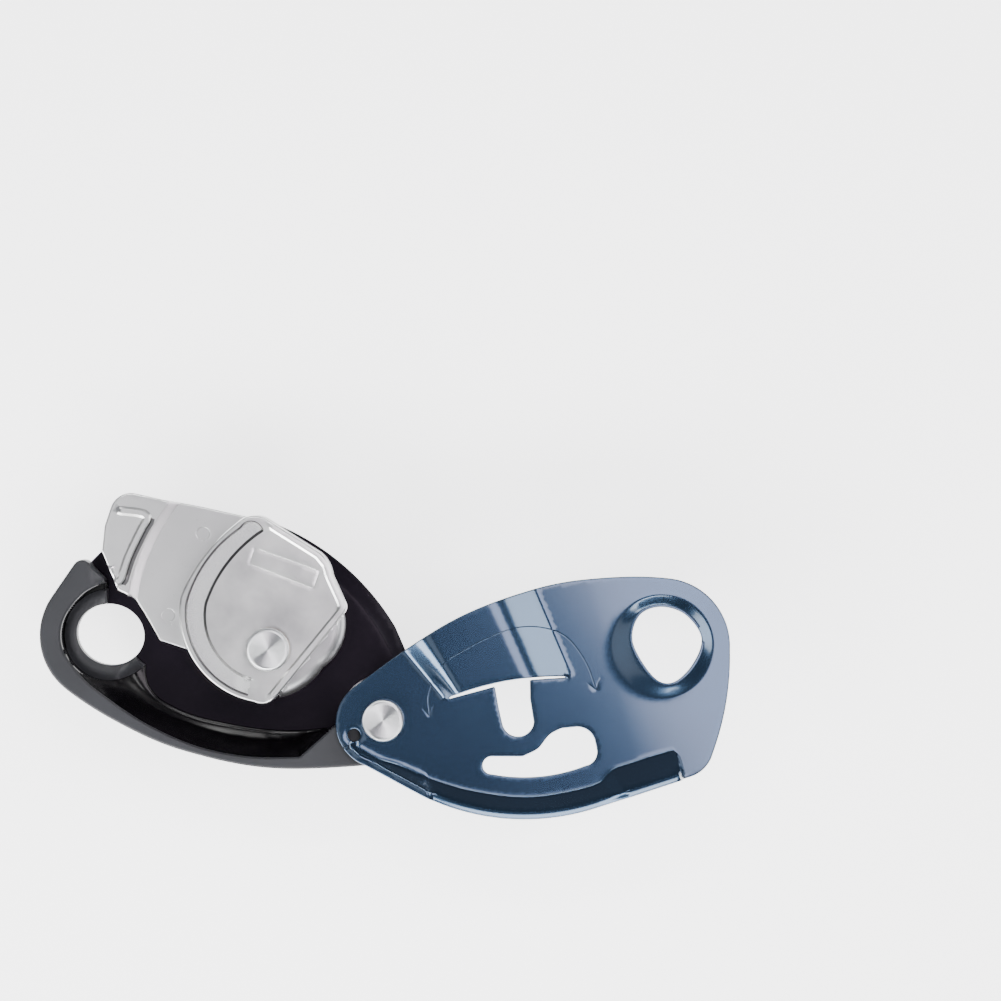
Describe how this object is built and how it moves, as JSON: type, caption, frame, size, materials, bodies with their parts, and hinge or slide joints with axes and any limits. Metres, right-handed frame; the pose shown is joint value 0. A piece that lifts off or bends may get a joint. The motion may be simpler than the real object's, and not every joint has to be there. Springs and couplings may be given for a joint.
{
  "type": "assisted-braking belay device",
  "caption": "Assisted-braking rope device with a sprung cam between two side plates, a swinging front plate, a friction plate and a fold-away release handle, shown open.",
  "frame": {"origin": "on the axis of the fixed plate's carabiner hole, at the plate's inner face", "axes": "+X from the carabiner hole to the side plate's pivot, +Z from the fixed plate to the moving one; the device lies on its back on -Z"},
  "size_m": [0.1617, 0.0733, 0.0336],
  "materials": {
    "dark_anodised": "satin dark anodised",
    "blue_anodised": "satin slate-blue anodised",
    "nylon_frame": "glass-filled nylon, fine matte",
    "handle_nylon": "glass-filled nylon, matte",
    "nylon_washer": "smooth natural nylon",
    "stainless": "satin stainless sheet",
    "cast_stainless": "bead-blasted stainless casting",
    "turned_steel": "turned, with fine rings",
    "zinc_steel": "plain zinc-plated",
    "handle_steel": "pressed steel",
    "spring_steel": "drawn wire and strip",
    "bronze": "sintered bronze"
  },
  "bodies": {
    "body": {"fixed_side_plate": "dark_anodised", "body_frame": "nylon_frame", "friction_plate": "stainless", "wear_plate": "stainless", "frame_screws": "zinc_steel", "friction_plate_rivets": "stainless", "cam_axle": "turned_steel", "cam_thrust_washer": "nylon_washer", "axle_back_washer": "zinc_steel", "cam_retaining_clip": "spring_steel", "cam_stop_pin": "zinc_steel", "handle_stop_pin": "zinc_steel", "side_plate_rivet": "turned_steel", "pivot_spacer": "zinc_steel", "pivot_thrust_washer": "nylon_washer", "pivot_wave_washer": "spring_steel", "detent_ball": "turned_steel", "detent_spring": "spring_steel"},
    "side_plate": {"moving_side_plate": "blue_anodised"},
    "cam": {"cam": "cast_stainless", "cam_bushing": "bronze", "cam_drive_dog": "zinc_steel", "cam_return_spring": "spring_steel"},
    "handle": {"handle_arm": "handle_steel", "handle_grip": "handle_nylon", "handle_rivets": "zinc_steel", "handle_bushing": "bronze", "handle_return_spring": "spring_steel"}
  },
  "joints": [
    {"name": "side_plate_pivot", "type": "hinge", "parent": "body", "child": "side_plate", "pos_m": [0.0684, 0, 0.0144], "axis": [0, 0, 1], "range_deg": [0, 148]},
    {"name": "cam_pivot", "type": "hinge", "parent": "body", "child": "cam", "pos_m": [0.0374, 0.0081, 0.007], "axis": [0, 0, 1], "range_deg": [-35, 0], "stiffness_Nm_per_rad": 0.02, "springref_deg": 34.38},
    {"name": "handle_pivot", "type": "hinge", "parent": "body", "child": "handle", "pos_m": [0.0374, 0.0081, -0.01], "axis": [0, 0, 1], "range_deg": [0, 110], "stiffness_Nm_per_rad": 0.02, "springref_deg": -34.38}
  ]
}
